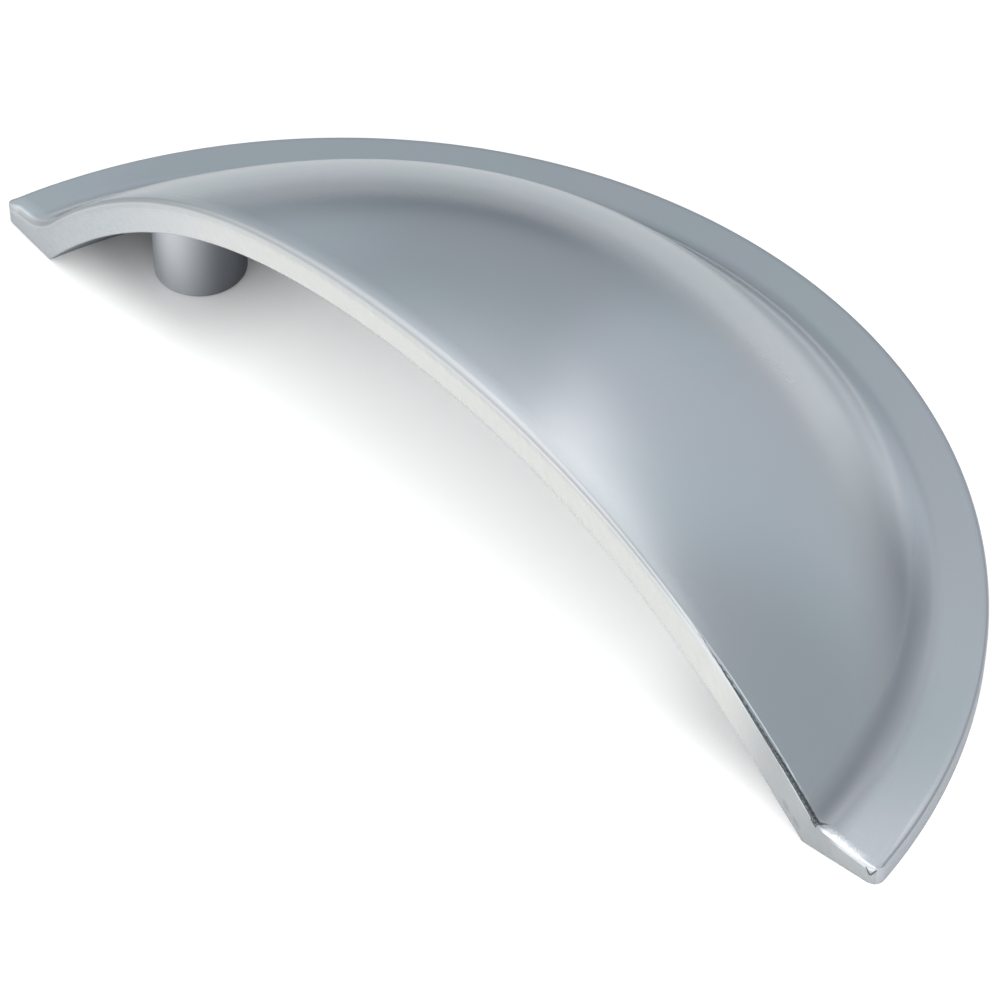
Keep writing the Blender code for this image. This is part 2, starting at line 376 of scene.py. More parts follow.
def shell():
    """A grid bent round the outline of every section, and closed along its seam and tips.

    Its map gives, in millimetres, the place along the lip and the distance on the metal from
    the lip's upper edge: above 0 over the dome, below 0 down the front face. Its "hollow" is 1
    on the inside.
    """
    places = stations()
    outlines = [section(front, rim) for front, rim in places]
    runs = [along_wall(loop, lip_row) for loop, lip_row in outlines]
    columns = len(outlines) - 1
    rows = len(outlines[0][0]) - 1
    mesh = bmesh.new()
    bmesh.ops.create_grid(mesh, x_segments=columns, y_segments=rows, size=1)
    wall = mesh.loops.layers.uv.new("wall")
    hollow = mesh.verts.layers.float.new("hollow")
    on_wall = {}
    for vert in mesh.verts:
        column = round((vert.co.x + 1) / 2 * columns)
        row = round((vert.co.y + 1) / 2 * rows)
        on_wall[vert] = Vector((places[column][0].x, runs[column][row])) * TO_MM
        vert.co = outlines[column][0][row] + TO_ROW_FRAME
        vert[hollow] = float(row < HOLLOW_ROWS)
    for face in mesh.faces:
        for corner in face.loops:
            corner[wall].uv = on_wall[corner.vert]
    widest = max(vert.co.x for vert in mesh.verts)
    lowest = min(vert.co.y for vert in mesh.verts)
    bmesh.ops.scale(mesh, verts=mesh.verts, vec=(cad_high.x / widest, cad_low.y / lowest, 1))
    return into_object(mesh, "cup_pull_casting")


casting = shell()

# Two round posts are cast with the shell and take the screws. Each stands on the mounting
# plane inside the hollow and runs into the wall with a small fillet.
HOLE_CENTRES = 0.0640
POST_DIAMETER = 0.0073
POST_SETBACK = 0.0075
POST_FILLET = 0.0008
POST_FOOT_ROUND = 0.00025
POST_SINK = 0.00015
POST_SIDES = 96
POST_FOOT_ROWS = 4
POST_FILLET_ROWS = 8


def grown(centre, rings, sides):
    """A closed solid grown ring by ring about an upright axis.

    A ring is a pair of rules: its radius at an angle, and its height at a place.
    """
    mesh = bmesh.new()
    bmesh.ops.create_circle(mesh, cap_ends=True, segments=sides, radius=1)
    bmesh.ops.translate(mesh, verts=mesh.verts, vec=(centre.x, centre.y, 0))
    circle = mesh.verts[:]
    edges = mesh.edges[:]
    for number, (radius, height) in enumerate(rings):
        if number:
            made = bmesh.ops.extrude_edge_only(mesh, edges=edges)["geom"]
            circle = [item for item in made if isinstance(item, bmesh.types.BMVert)]
            edges = [item for item in made if isinstance(item, bmesh.types.BMEdge)]
        for vert in circle:
            angle = math.atan2(vert.co.y - centre.y, vert.co.x - centre.x)
            x, y = on_arc(centre, radius(angle), angle)
            vert.co = (x, y, height(x, y))
    bmesh.ops.holes_fill(mesh, edges=edges, sides=sides)
    bmesh.ops.translate(mesh, verts=mesh.verts, vec=TO_ROW_FRAME)
    return mesh


def post(centre):
    """The post from its foot, with a softened edge, to a flared root inside the wall."""
    radius = POST_DIAMETER / 2
    rings = []
    for turn in [0.0] + steps(0, math.pi / 2, POST_FOOT_ROWS):
        inset = radius - POST_FOOT_ROUND * (1 - math.sin(turn))
        lift = POST_FOOT_ROUND * (1 - math.cos(turn))
        rings.append((lambda a, r=inset: r, lambda x, y, z=lift: z))
    for turn in [0.0] + steps(0, math.pi / 2, POST_FILLET_ROWS):
        flare = radius + POST_FILLET * (1 - math.cos(turn))
        drop = POST_FILLET * (1 - math.sin(turn)) - POST_SINK
        rings.append((lambda a, r=flare: r, lambda x, y, d=drop: inner_height(x, y) - d))
    rings.append((
        lambda a: radius + POST_FILLET,
        lambda x, y: (inner_height(x, y) + outer_height(x, y)) / 2,
    ))
    return grown(centre, rings, POST_SIDES)


# Each post is drilled and tapped M4 from its foot, blind, with a chamfer at the mouth.
TAP_DIAMETER = 0.0033
THREAD_DEPTH = 0.00033
THREAD_PITCH = 0.0007
THREAD_STEPS = 10
BORE_MOUTH = 0.0004
BORE_COVER = 0.0020
DRILL_POINT = math.radians(118)
BORE_SIDES = 48


def tap(centre):
    """The form that cuts the hole: chamfer, thread and drill point."""
    radius = TAP_DIAMETER / 2
    around = [on_arc(centre, radius, 2 * math.pi * k / BORE_SIDES) for k in range(BORE_SIDES)]
    depth = min(outer_height(place.x, place.y) for place in around) - BORE_COVER

    def threaded(angle, height):
        turn = (height / THREAD_PITCH - angle / (2 * math.pi)) % 1
        ridge = THREAD_DEPTH * (1 - abs(2 * turn - 1))
        return radius + ridge * eased(depth - height, 0, THREAD_PITCH)

    mouth = radius + THREAD_DEPTH + 2 * BORE_MOUTH
    rings = [
        (lambda a: mouth, lambda x, y: -BORE_MOUTH),
        (lambda a: radius, lambda x, y: BORE_MOUTH + THREAD_DEPTH / 2),
    ]
    start = BORE_MOUTH + THREAD_DEPTH / 2
    count = round((depth - start) / THREAD_PITCH * THREAD_STEPS)
    for level in steps(start, depth, count):
        rings.append((lambda a, z=level: threaded(a, z), lambda x, y, z=level: z))
    point = depth + radius / math.tan(DRILL_POINT / 2)
    rings.append((lambda a: WELD / 10, lambda x, y: point))
    return grown(centre, rings, BORE_SIDES)


def combine(obj, other, operation):
    """Joins a form to the object, or cuts it away, with a modifier that settle applies."""
    modifier = obj.modifiers.new(other.name, "BOOLEAN")
    modifier.operation = operation
    modifier.solver = "EXACT"
    modifier.object = other


def settle(obj, helpers):
    """Applies the modifiers, removes the helper objects and smooths the surface."""
    shown = obj.evaluated_get(bpy.context.evaluated_depsgraph_get())
    data = bpy.data.meshes.new_from_object(shown)
    obj.modifiers.clear()
    obj.data = data
    data.name = obj.name
    for helper in helpers:
        bpy.data.objects.remove(helper, do_unlink=True)
    data.shade_smooth()
    data.set_sharp_from_angle(angle=SHARP_ANGLE)


def mark_posts(data, centres):
    """Takes the posts out of the hollow's mark, so that they keep the finish of the outside and
    miss its painted shade.
    """
    hollow = data.attributes["hollow"].data
    for vert, mark in zip(data.vertices, hollow):
        for centre in centres:
            away = (vert.co - TO_ROW_FRAME).xy - centre
            if away.length < POST_DIAMETER / 2 + POST_FILLET / 2:
                mark.value = 0.0


helpers = []
centres = [Vector((side * HOLE_CENTRES / 2, POST_SETBACK)) for side in (-1, 1)]
for centre in centres:
    for form, name, operation in ((post, "post", "UNION"), (tap, "tap", "DIFFERENCE")):
        helpers.append(into_object(form(centre), name))
        combine(casting, helpers[-1], operation)
settle(casting, helpers)
mark_posts(casting.data, centres)

# The whole casting is plated in satin chrome: a cool grey metal with a fine grain and a slight
# haze. The buffing wheel could not reach the foot of the dome, which stayed frosted, nor the
# hollow, which stayed dull; the hollow's inside is also painted dark, as painted shade. Places
# along and across the lip's wall are in millimetres.
CHROME = (0.56, 0.585, 0.61, 1)
CHROME_TEAL = (0.545, 0.59, 0.605, 1)
CHROME_EDGE = (0.64, 0.655, 0.68, 1)
# Painted shade: the dark colour of the hollow's inside.
DARK_HOLLOW = (0.30, 0.31, 0.33, 1)
TINT_SCALE = 70.0
TINT_SPREAD = (0.35, 0.65)
GRAIN_SCALE = 4200.0
GRAIN_SPREAD = (0.3, 0.7)
GRAIN_HEIGHT = 0.000001
MIRROR_ROUGHNESS = (0.19, 0.24)
HAZE_ROUGHNESS = 0.50
HAZE_SHARE = 0.27
HOLLOW_FROST = 0.7
RAGGED_SCALE = 3.0
PATCH_SCALE = 9.0
EDGE_BLUR = 0.03

# The frost lies round the foot of the dome at the back and on the right, in the valley on the
# right, and over the left end. Over the frost the foot is painted paler at the back, a painted
# reflection, and darker on the right and in the valley there, painted shade. The side of the rim
# is as hazy, and painted darker as painted shade.
# Painted reflection and painted highlight: the paler grey on the foot at the back and on the dome
# beside the lip.
FROSTED = (0.68, 0.70, 0.72, 1)
# Painted shade: the darker grey on the right of the foot and in the valley there.
FROSTED_DULL = (0.33, 0.345, 0.37, 1)
FROSTED_FROM = 0.0396
FROST = 0.65
FROST_START = 0.0350
FROST_FULL = 0.0412
FROST_END = 0.0434
FROST_SLOPE = 0.6
FROST_RIGHT = (0.010, 0.020)
FROST_BACK = (0.000, 0.009)
VALLEY_FROST = 0.73
VALLEY_FROST_INNER = (-0.0018, -0.0004)
VALLEY_FROST_OUTER = (0.0020, 0.0005)
VALLEY_FROST_RIGHT = (0.024, 0.034)
LEFT_FROST = 0.6
LEFT_ALONG = (-34.0, -42.0)
LEFT_LOWER = (-2.5, -1.0)
LEFT_UPPER = (2.0, 0.8)
# Painted shade: the darker colour of the rim's side.
RIM_SIDE = (0.40, 0.42, 0.445, 1)
RIM_SIDE_WIDTH = (-0.0005, -0.0002)
RIM_FROST = 0.6

# The lip's face is brushed aslant in fine streaks. The strokes also took the shine off its upper
# edge, which is also painted darker, a painted shade that tones its highlight down, and the dome
# beside it has a painted highlight.
BRUSHED = (0.53, 0.535, 0.525, 1)
BRUSHED_LEFT = (0.46, 0.48, 0.50, 1)
FACE_TOP = (-0.3, -0.45)
FACE_LEFT = (-34.0, -14.0)
STREAK_LEAN = 0.75
STREAK_SCALE = (6.0, 0.7, 1.0)
STREAK_SPREAD = (0.25, 0.75)
STREAK_SHARE = 0.05
# Painted shade: the darker colour of the lip's upper edge, which tones its highlight down.
LIP_EDGE = (0.42, 0.43, 0.44, 1)
LIP_EDGE_LOWER = (-0.35, -0.12)
LIP_EDGE_UPPER = (0.35, 0.1)
LIP_FROST = 0.73
LIP_FROST_LOWER = (-1.0, -0.5)
LIP_FROST_UPPER = (1.6, 0.0)
LIP_ALONG = (32.5, 24.5)
# Painted highlight: how much paler the dome is beside the lip.
LIP_PALE = 0.8
LIP_PALE_WIDTH = (5.5, 0.0)
LIP_PALE_LEFT = (-6.0, 14.0)
LIP_PALE_RIGHT = (30.0, 14.0)

# Painted shade: each post is darker on the side that is turned to the deep of the hollow.
POST_PALE = (0.58, 0.60, 0.63, 1)
POST_DARK = (0.20, 0.21, 0.23, 1)
POST_DEEP = (-0.68, 0.73)
POST_THIN = (-0.0022, 0.0022)
OFF_WALL = 0.001

# The right end of the face is darker, with two dark blots. A dark ragged line runs along the
# groove there, turns off into a small wedge at the valley, and a dark nick marks the tip.
DULL = (0.345, 0.36, 0.37, 1)
DULL_ALONG = (32.5, 38.5)
BLOTS = ((39.2, -2.75), (40.1, -2.8))
BLOT_SIZE = (0.5, 0.38)
BLOT_SHARE = 0.45
STAIN = (0.07, 0.08, 0.085, 1)
STAIN_PALE = (0.20, 0.21, 0.22, 1)
STAIN_PATCHES = (0.45, 0.65)
STAIN_START = 28.5
STAIN_CLEAR = 30.5
STAIN_RISE = 35.5
STAIN_FULL = 41.0
STAIN_END = 41.75
STAIN_TOP = (0.06, 0.32)
STAIN_WIDTH = 0.55
STAIN_RAGGED = 0.3
WEDGE_FOOT = 41.60
WEDGE_LEAN = 0.28
WEDGE_WIDTH = 0.25
WEDGE_ENDS = (-0.40, 1.05)
WEDGE_TIP = 0.95
NICK_PLACE = (46.34, -0.82)
NICK_HEIGHT = 0.62
NICK_SLOPE = 0.55
NICK_WIDTH = 0.07
# Painted highlight: the pale colour on the burr at the flange's end; the burr itself is raised in
# the geometry.
BURR_PALE = (0.84, 0.85, 0.86, 1)
BURR_REACH = 1.0
BURR_CORE = 0.15
BURR_FOOT = -0.1
BURR_PATCHES = (0.2, 0.6, 0.4, 1.0)
BURR_BLUR = 0.3
BURR_THINS = 2.0


def add(tree, kind, inputs=None, **settings):
    """A new node with its settings, and with its sockets filled or linked."""
    node = tree.nodes.new(kind)
    for name, value in settings.items():
        setattr(node, name, value)
    for name, value in (inputs or {}).items():
        if isinstance(value, bpy.types.NodeSocket):
            tree.links.new(value, node.inputs[name])
        else:
            node.inputs[name].default_value = value
    return node


def calc(tree, operation, *values):
    return add(tree, "ShaderNodeMath", dict(enumerate(values)), operation=operation).outputs[0]


def vector(tree, operation, *values):
    inputs = dict(enumerate(values))
    return add(tree, "ShaderNodeVectorMath", inputs, operation=operation).outputs[0]


def scaled(tree, value, scale):
    inputs = {0: value, "Scale": scale}
    return add(tree, "ShaderNodeVectorMath", inputs, operation="SCALE").outputs[0]


def length(tree, value):
    return add(tree, "ShaderNodeVectorMath", {0: value}, operation="LENGTH").outputs["Value"]


def parts_of(tree, value):
    return add(tree, "ShaderNodeSeparateXYZ", {0: value}).outputs


def ramp(tree, value, start, end, low=0.0, high=1.0):
    """An even ease from low at start to high at end."""
    span = {"Value": value, "From Min": start, "From Max": end, "To Min": low, "To Max": high}
    return add(tree, "ShaderNodeMapRange", span, interpolation_type="SMOOTHSTEP").outputs[0]


def speckle(tree, place, scale, detail=3):
    inputs = {"Vector": place, "Scale": scale, "Detail": detail, "Roughness": 0.6}
    return add(tree, "ShaderNodeTexNoise", inputs).outputs["Fac"]


def mix(tree, share, first, second):
    """The first colour where the share is 0, and the second where it is 1."""
    node = add(tree, "ShaderNodeMix", {0: share}, data_type="RGBA")
    for socket, value in ((node.inputs[6], first), (node.inputs[7], second)):
        if isinstance(value, bpy.types.NodeSocket):
            tree.links.new(value, socket)
        else:
            socket.default_value = value
    return node.outputs[2]


def shares(tree, *masks):
    """All the masks in one."""
    total = masks[0]
    for mask in masks[1:]:
        total = calc(tree, "MULTIPLY", total, mask)
    return total


def less(tree, value, limit):
    """1 where a length in millimetres is under a limit, with a slightly blurred edge."""
    return ramp(tree, calc(tree, "SUBTRACT", value, limit), EDGE_BLUR, -EDGE_BLUR)


def apart(tree, first, second):
    return calc(tree, "ABSOLUTE", calc(tree, "SUBTRACT", first, second))


def measures(tree):
    """The places on the part and on its wall, and the patterns, that the masks are made from."""
    at = SimpleNamespace()
    at.place = add(tree, "ShaderNodeTexCoord").outputs["Object"]
    on_part = parts_of(tree, at.place)
    at.sideways, at.depth = on_part["X"], on_part["Y"]
    from_centre = vector(tree, "ADD", at.place, (0, -RIM_CENTRE - TO_ROW_FRAME.y, 0))
    at.radius = length(tree, vector(tree, "MULTIPLY", from_centre, (1, 1, 0)))
    at.wall = add(tree, "ShaderNodeUVMap", uv_map="wall").outputs["UV"]
    on_wall = parts_of(tree, at.wall)
    at.along, at.across = on_wall["X"], on_wall["Y"]
    hollow = add(tree, "ShaderNodeAttribute", attribute_name="hollow").outputs["Fac"]
    at.inside = calc(tree, "GREATER_THAN", hollow, 0.5)
    at.outside = calc(tree, "SUBTRACT", 1.0, at.inside)
    at.grain = speckle(tree, at.place, GRAIN_SCALE)
    at.ragged = speckle(tree, at.wall, RAGGED_SCALE, 4)
    at.patchy = speckle(tree, at.wall, PATCH_SCALE, 2)
    return at


def blots(tree, at):
    """The dull blots low on the face, 1 in the middle of each."""
    total = 0.0
    for place in BLOTS:
        out = []
        for value, middle, size in zip((at.along, at.across), place, BLOT_SIZE):
            out.append(calc(tree, "DIVIDE", calc(tree, "SUBTRACT", value, middle), size))
        away = calc(
            tree, "ADD", calc(tree, "POWER", out[0], 2.0), calc(tree, "POWER", out[1], 2.0)
        )
        total = calc(tree, "MAXIMUM", ramp(tree, away, 1.0, 0.0), total)
    return total


def groove_dirt(tree, at):
    """The dark line in the groove, which rises and widens towards the valley."""
    uneven = calc(tree, "SUBTRACT", at.ragged, 0.5)
    top = ramp(tree, at.along, STAIN_RISE, STAIN_FULL, *STAIN_TOP)
    top = calc(tree, "ADD", top, calc(tree, "MULTIPLY", uneven, STAIN_RAGGED))
    wide = ramp(tree, at.along, STAIN_START, STAIN_FULL, 0.0, STAIN_WIDTH)
    wide = calc(tree, "MULTIPLY", wide, calc(tree, "ADD", at.ragged, 0.5))
    low = calc(tree, "SUBTRACT", top, wide)
    return shares(
        tree, less(tree, at.across, top), less(tree, low, at.across),
        ramp(tree, at.along, STAIN_START, STAIN_CLEAR), less(tree, at.along, STAIN_END),
    )


def wedge_dirt(tree, at):
    """The leaning wedge in which the line ends at the valley."""
    middle = calc(tree, "ADD", calc(tree, "MULTIPLY", at.across, WEDGE_LEAN), WEDGE_FOOT)
    half = ramp(tree, at.across, *WEDGE_ENDS, WEDGE_WIDTH, 0.0)
    return shares(
        tree, less(tree, apart(tree, at.along, middle), half),
        less(tree, WEDGE_ENDS[0], at.across), less(tree, at.across, WEDGE_TIP),
    )


def nick_dirt(tree, at):
    """The small dark nick at the tip, open upwards."""
    up = calc(tree, "SUBTRACT", at.across, NICK_PLACE[1])
    off = apart(tree, at.along, NICK_PLACE[0])
    off = apart(tree, off, calc(tree, "MULTIPLY", up, NICK_SLOPE))
    return shares(
        tree, less(tree, off, NICK_WIDTH), less(tree, up, NICK_HEIGHT), less(tree, 0.0, up)
    )


def crumbs(tree, at):
    """1 on the crumbly bead at the flange's end, where it is painted pale as a painted highlight,
    0 elsewhere.
    """
    wide = calc(tree, "MULTIPLY", calc(tree, "ADD", at.ragged, at.patchy), BURR_REACH)
    start, end = BURR_START * TO_MM, BURR_END * TO_MM
    return shares(
        tree, ramp(tree, calc(tree, "DIVIDE", at.across, wide), 1.0, BURR_CORE),
        less(tree, BURR_FOOT, at.across), ramp(tree, at.patchy, *BURR_PATCHES),
        ramp(tree, at.along, start - BURR_BLUR, start + BURR_BLUR),
        ramp(tree, at.along, end, end - BURR_THINS),
    )


def finishes(tree, at):
    """Where the plating has frost, brushing or dark marks, and where it is painted paler or darker
    as light and shade, from 0 to 1.
    """
    on = SimpleNamespace()
    back = ramp(tree, at.depth, *FROST_BACK)
    right = calc(tree, "MULTIPLY", at.sideways, FROST_SLOPE)
    right = ramp(tree, calc(tree, "ADD", at.depth, right), *FROST_RIGHT)
    inner = ramp(tree, at.radius, FROST_START, FROST_FULL)
    outer = ramp(tree, at.radius, FROST_END, FROST_FULL)
    on.foot = shares(tree, inner, outer, calc(tree, "MAXIMUM", back, right), FROST)
    # The next two masks paint the foot: paler at the back as a painted reflection, darker on the
    # right as painted shade.
    on.frosted = shares(tree, ramp(tree, at.radius, FROSTED_FROM, FROST_FULL), outer, back)
    on.dull = shares(tree, inner, outer, right, calc(tree, "SUBTRACT", 1.0, back))
    # The valley mask gives haze and, on the right, painted shade.
    on.valley = shares(
        tree, ramp(tree, at.radius, *(VALLEY_RADIUS + away for away in VALLEY_FROST_INNER)),
        ramp(tree, at.radius, *(VALLEY_RADIUS + away for away in VALLEY_FROST_OUTER)),
        ramp(tree, at.sideways, *VALLEY_FROST_RIGHT), at.outside,
    )
    on.left = shares(
        tree, ramp(tree, at.along, *LEFT_ALONG), ramp(tree, at.across, *LEFT_LOWER),
        ramp(tree, at.across, *LEFT_UPPER), LEFT_FROST,
    )
    side = (RIM_RADIUS + away for away in RIM_SIDE_WIDTH)
    # The rim's side mask gives haze and painted shade.
    on.rim = shares(tree, ramp(tree, at.radius, *side), at.outside)

    on.lip = shares(
        tree, ramp(tree, at.across, *LIP_FROST_LOWER), ramp(tree, at.across, *LIP_FROST_UPPER),
        ramp(tree, at.along, *LIP_ALONG), at.outside, LIP_FROST,
    )
    # Painted shade mask: the lip's upper edge.
    on.edge = shares(
        tree, ramp(tree, at.across, *LIP_EDGE_LOWER), ramp(tree, at.across, *LIP_EDGE_UPPER),
        ramp(tree, at.along, *LIP_ALONG), at.outside,
    )
    # Painted highlight mask: the dome beside the lip.
    on.pale = shares(
        tree, ramp(tree, at.across, *LIP_PALE_WIDTH), ramp(tree, at.along, *LIP_PALE_LEFT),
        ramp(tree, at.along, *LIP_PALE_RIGHT), LIP_PALE,
    )
    on.face = shares(tree, ramp(tree, at.across, *FACE_TOP), at.outside)

    dirt = calc(tree, "MAXIMUM", groove_dirt(tree, at), wedge_dirt(tree, at))
    on.stain = shares(tree, calc(tree, "MAXIMUM", dirt, nick_dirt(tree, at)), at.outside)
    on.burr = shares(tree, crumbs(tree, at), at.outside)
    return on


def brushed_colour(tree, at):
    """The lip's face: finely streaked, cooler to the left, darker and blotted to the right."""
    leant = calc(tree, "ADD", at.along, calc(tree, "MULTIPLY", at.across, STREAK_LEAN))
    leant = add(tree, "ShaderNodeCombineXYZ", {0: leant, 1: at.across}).outputs[0]
    streaks = speckle(tree, vector(tree, "MULTIPLY", leant, STREAK_SCALE), 1.0, 4)
    shade = ramp(tree, streaks, *STREAK_SPREAD, 1 - STREAK_SHARE, 1 + STREAK_SHARE)
    colour = mix(tree, ramp(tree, at.along, *DULL_ALONG), BRUSHED, DULL)
    colour = mix(tree, ramp(tree, at.along, *FACE_LEFT), BRUSHED_LEFT, colour)
    blotted = calc(tree, "MULTIPLY", blots(tree, at), BLOT_SHARE)
    return mix(tree, blotted, scaled(tree, colour, shade), STAIN_PALE)


def post_colour(tree, at):
    """Paler towards the lip and the tips, darker towards the deep of the hollow: painted shade."""
    inwards = calc(tree, "SUBTRACT", calc(tree, "ABSOLUTE", at.sideways), HOLE_CENTRES / 2)
    backwards = calc(tree, "SUBTRACT", at.depth, POST_SETBACK + TO_ROW_FRAME.y)
    inwards = calc(tree, "MULTIPLY", inwards, POST_DEEP[0])
    backwards = calc(tree, "MULTIPLY", backwards, POST_DEEP[1])
    thin = ramp(tree, calc(tree, "ADD", inwards, backwards), *POST_THIN)
    return mix(tree, thin, POST_PALE, POST_DARK)


# The plating's colour, with its painted light and shade.
def plating_colour(tree, at, on):
    tint = ramp(tree, speckle(tree, at.place, TINT_SCALE, 1), *TINT_SPREAD)
    colour = mix(tree, tint, CHROME, CHROME_TEAL)
    # Painted reflection: the foot at the back is painted paler.
    colour = mix(tree, on.frosted, colour, FROSTED)
    # Painted shade: the foot on the right and the valley there are painted darker.
    colour = mix(tree, calc(tree, "MAXIMUM", on.dull, on.valley), colour, FROSTED_DULL)
    # Painted highlight: the dome beside the lip is painted paler.
    colour = mix(tree, on.pale, colour, FROSTED)
    # Painted shade: the lip's upper edge is painted darker.
    colour = mix(tree, on.edge, colour, LIP_EDGE)
    # Painted shade: the rim's side is painted darker.
    colour = mix(tree, on.rim, colour, RIM_SIDE)
    colour = mix(tree, on.face, colour, brushed_colour(tree, at))
    # Painted shade: the inside of the hollow takes the dark colour.
    colour = mix(tree, at.inside, colour, DARK_HOLLOW)
    ways = (calc(tree, "ABSOLUTE", way) for way in (at.along, at.across))
    off_wall = calc(tree, "ADD", *ways)
    on_post = calc(tree, "LESS_THAN", off_wall, OFF_WALL)
    # Painted shade on the posts: darker on their sides turned to the deep of the hollow.
    colour = mix(tree, on_post, colour, post_colour(tree, at))
    # Painted highlight on the burr at the flange's end.
    colour = mix(tree, on.burr, colour, BURR_PALE)
    dark = mix(tree, ramp(tree, at.patchy, *STAIN_PATCHES), STAIN, STAIN_PALE)
    return mix(tree, on.stain, colour, dark)


def haze_share(tree, at, on):
    """How much of the shine is haze: least on the buffed dome, most in the frost, on the flange's
    end and in the dark marks.
    """
    share = calc(tree, "MAXIMUM", calc(tree, "ADD", on.foot, on.left), on.lip)
    share = calc(tree, "MAXIMUM", share, calc(tree, "MULTIPLY", on.valley, VALLEY_FROST))
    share = calc(tree, "MAXIMUM", share, calc(tree, "MULTIPLY", on.rim, RIM_FROST))
    share = calc(tree, "ADD", share, calc(tree, "MULTIPLY", at.inside, HOLLOW_FROST))
    soiled = calc(tree, "MULTIPLY", calc(tree, "MAXIMUM", on.burr, on.stain), FROST)
    share = calc(tree, "ADD", share, soiled)
    return calc(tree, "MINIMUM", calc(tree, "ADD", share, HAZE_SHARE), 1.0)


def satin_chrome():
    """Two metals, one close to a mirror and one hazy, mixed by the finish at each place."""
    material = bpy.data.materials.new("satin_chrome")
    material.use_nodes = True
    tree = material.node_tree
    at = measures(tree)
    on = finishes(tree, at)
    colour = plating_colour(tree, at, on)
    shader = tree.nodes["Principled BSDF"]
    haze = add(tree, "ShaderNodeBsdfPrincipled")
    for layer in (shader, haze):
        tree.links.new(colour, layer.inputs["Base Color"])
        layer.inputs["Specular Tint"].default_value = CHROME_EDGE
        layer.inputs["Metallic"].default_value = 1.0
    roughness = ramp(tree, at.grain, *GRAIN_SPREAD, *MIRROR_ROUGHNESS)
    bump = add(tree, "ShaderNodeBump", {"Height": at.grain, "Distance": GRAIN_HEIGHT})
    tree.links.new(roughness, shader.inputs["Roughness"])
    tree.links.new(bump.outputs["Normal"], shader.inputs["Normal"])
    haze.inputs["Roughness"].default_value = HAZE_ROUGHNESS
    both = {0: haze_share(tree, at, on), 1: shader.outputs[0], 2: haze.outputs[0]}
    both = add(tree, "ShaderNodeMixShader", both)
    tree.links.new(both.outputs[0], tree.nodes["Material Output"].inputs["Surface"])
    return material


casting.data.materials.clear()
casting.data.materials.append(satin_chrome())
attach(casting, "root")
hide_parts("cup_pull")

# A white studio floor carries the pull and keeps its shadow. What the lamps leave short of
# white on it is made up for the camera and for what the metal mirrors.
FLOOR_SIZE = 4.0
FLOOR_DROP = 0.00002
FLOOR_COLOUR = (0.90, 0.89, 0.87)
FLOOR_LIFT = 0.30
LIT_TURN = math.radians(46.7)
LIT_MIDDLE = (-0.008, -0.004)
LIT_HALF_SIZE = (0.043, 0.058)
LIT_FADE = 0.080
UNLIT_SHARE = 0.60
NEAR_RIGHT = (0.020, 0.042)
NEAR_BACK = (0.000, 0.028)
BEHIND_SHARE = 0.71
UNDER_EDGE = 0.005
UNDER_ENDS = (0.020, 0.034)


def lit_share(tree, place):
    """Painted light on the floor: 1 where the lamps are aimed, and less behind and round it."""
    turned = add(
        tree, "ShaderNodeVectorRotate", {"Vector": place, "Angle": -LIT_TURN},
        rotation_type="Z_AXIS",
    ).outputs[0]
    off = vector(tree, "ABSOLUTE", vector(tree, "SUBTRACT", turned, (*LIT_MIDDLE, 0)))
    off = vector(tree, "MAXIMUM", vector(tree, "SUBTRACT", off, (*LIT_HALF_SIZE, 1)), (0, 0, 0))
    away = length(tree, off)
    ways = parts_of(tree, turned)
    right = ramp(tree, ways["X"], *NEAR_RIGHT, 1.0, BEHIND_SHARE)
    back = ramp(tree, ways["Y"], *NEAR_BACK, 1.0, BEHIND_SHARE)
    near = calc(tree, "MINIMUM", right, back)
    return calc(tree, "MULTIPLY", near, ramp(tree, away, 0.0, LIT_FADE, 1.0, UNLIT_SHARE))


def open_share(tree, place):
    """1 on the open floor and 0 under the pull's ends, where little light gets in."""
    sideways = parts_of(tree, place)["X"]
    under = ramp(tree, calc(tree, "ABSOLUTE", sideways), *UNDER_ENDS)
    for centre, radius in ((FRONT_CENTRE, FRONT_RADIUS), (RIM_CENTRE, RIM_RADIUS)):
        off = vector(tree, "SUBTRACT", place, (0, centre + TO_ROW_FRAME.y, 0))
        away = length(tree, off)
        under = calc(tree, "MULTIPLY", under, ramp(tree, away, radius, radius - UNDER_EDGE))
    return calc(tree, "SUBTRACT", 1.0, under)


def floor_white():
    """Matt white paper, with a little light of its own for the camera and the mirror."""
    material = bpy.data.materials.new("floor_white")
    material.use_nodes = True
    tree = material.node_tree
    tree.nodes.clear()
    place = add(tree, "ShaderNodeTexCoord").outputs["Object"]
    lit = lit_share(tree, place)
    # Painted light: the paper's colour falls off away from where the lamps are aimed.
    paper = scaled(tree, FLOOR_COLOUR, lit)
    matt = add(tree, "ShaderNodeBsdfDiffuse", {"Color": paper})
    ray = add(tree, "ShaderNodeLightPath").outputs
    seen = calc(tree, "MAXIMUM", ray["Is Camera Ray"], ray["Is Glossy Ray"])
    seen = calc(tree, "MAXIMUM", seen, ray["Is Transmission Ray"])
    lift = shares(tree, seen, lit, open_share(tree, place), FLOOR_LIFT)
    glow = add(tree, "ShaderNodeEmission", {"Strength": lift})
    both = add(tree, "ShaderNodeAddShader", {0: matt.outputs[0], 1: glow.outputs[0]})
    add(tree, "ShaderNodeOutputMaterial", {"Surface": both.outputs[0]})
    return material


def floor():
    mesh = bmesh.new()
    bmesh.ops.create_grid(mesh, x_segments=1, y_segments=1, size=FLOOR_SIZE)
    bmesh.ops.translate(mesh, verts=mesh.verts, vec=(0, 0, -FLOOR_DROP))
    obj = into_object(mesh, "floor")
    obj.data.materials.append(floor_white())
    return obj


floor()

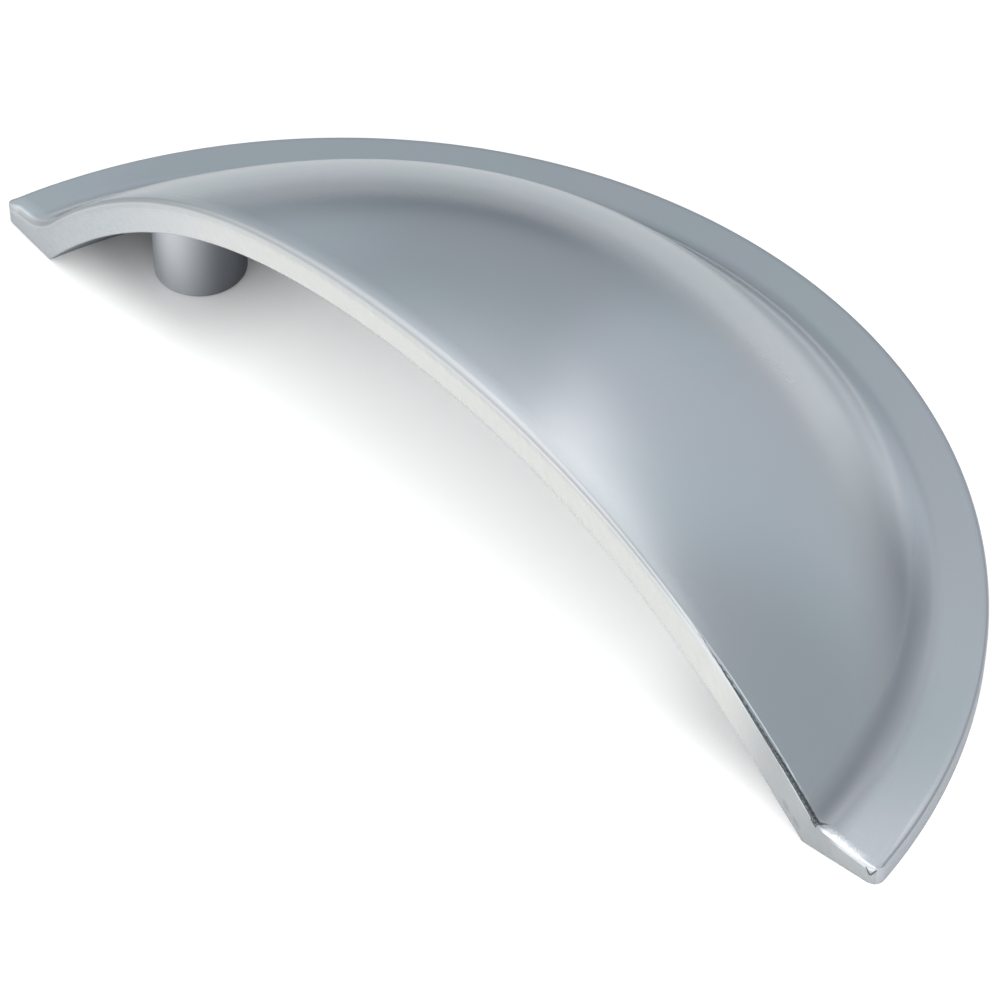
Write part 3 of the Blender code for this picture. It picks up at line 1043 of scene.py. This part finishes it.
# The studio round it: a dim cool horizon, a paler ceiling, and soft boxes as patches of light.
# A patch gives in degrees its bearing from +Y towards +X, its height, its half sizes and
# the softness of its edges, and then its light.
ROOM = (
    (0.0, (0.42, 0.455, 0.49)),
    (20.0, (0.42, 0.455, 0.495)),
    (34.0, (0.40, 0.44, 0.48)),
    (44.0, (0.56, 0.60, 0.65)),
    (90.0, (0.70, 0.73, 0.78)),
)
ZENITH = 90.0
PATCHES = (
    (-42, 2, 12, 5, 7, 5, (-0.36, -0.36, -0.36)),
    (-1, 15, 17, 26, 6, 12, (0.24, 0.25, 0.28)),
    (36, 63, 48, 24, 6, 5, (0.75, 0.71, 0.66)),
    (-60, 18, 9, 12, 7, 9, (0.20, 0.22, 0.23)),
    (180, 48, 98, 38, 14, 8, (1.12, 1.12, 1.10)),
    (0, 90, 200, 24, 5, 8, (1.1, 1.1, 1.1)),
)


def patch_mask(tree, bearing, height, centre, level, wide, tall, soft_wide, soft_tall):
    """1 inside a patch of the sky and 0 outside it, with soft edges. All in degrees."""
    off = calc(tree, "WRAP", calc(tree, "SUBTRACT", bearing, centre), 180, -180)
    up = calc(tree, "SUBTRACT", height, level)
    across = ramp(tree, calc(tree, "ABSOLUTE", off), wide + soft_wide, wide - soft_wide)
    upwards = ramp(tree, calc(tree, "ABSOLUTE", up), tall + soft_tall, tall - soft_tall)
    return calc(tree, "MULTIPLY", across, upwards)


def studio():
    world = bpy.data.worlds.new("studio")
    world.use_nodes = True
    tree = world.node_tree
    tree.nodes.clear()
    way = add(tree, "ShaderNodeTexCoord").outputs["Generated"]
    xyz = parts_of(tree, way)
    bearing = calc(tree, "DEGREES", calc(tree, "ARCTAN2", xyz["X"], xyz["Y"]))
    height = calc(tree, "DEGREES", calc(tree, "ARCSINE", xyz["Z"]))
    room = add(tree, "ShaderNodeValToRGB", {"Fac": calc(tree, "DIVIDE", height, ZENITH)})
    marks = room.color_ramp.elements
    for number, (level, colour) in enumerate(ROOM):
        mark = marks[number] if number < 2 else marks.new(level / ZENITH)
        mark.position = level / ZENITH
        mark.color = (*colour, 1)
    light = room.outputs["Color"]
    for centre, level, wide, tall, soft_wide, soft_tall, colour in PATCHES:
        mask = patch_mask(tree, bearing, height, centre, level, wide, tall, soft_wide, soft_tall)
        light = vector(tree, "ADD", light, scaled(tree, colour, mask))
    sky = add(tree, "ShaderNodeBackground", {"Color": light})
    add(tree, "ShaderNodeOutputWorld", {"Surface": sky.outputs[0]})
    return world


bpy.context.scene.world = studio()

# The camera stands in front of the right end and looks down on it, at the photograph's
# angle. Its place and its lens were fitted to the outline.
CAMERA_PLACE = Vector((0.156211, -0.156487, 0.211539))
CAMERA_TARGET = Vector((0.008573, -0.017642, 0.0080))
LENS = 145.955
SENSOR = 36.0

lens = bpy.data.cameras.new("camera")
lens.lens = LENS
lens.sensor_width = SENSOR
camera = bpy.data.objects.new("camera", lens)
camera.location = CAMERA_PLACE
camera.rotation_euler = (CAMERA_TARGET - CAMERA_PLACE).to_track_quat("-Z", "Y").to_euler()
bpy.context.scene.collection.objects.link(camera)
bpy.context.scene.camera = camera
bpy.context.scene.view_settings.view_transform = "Standard"
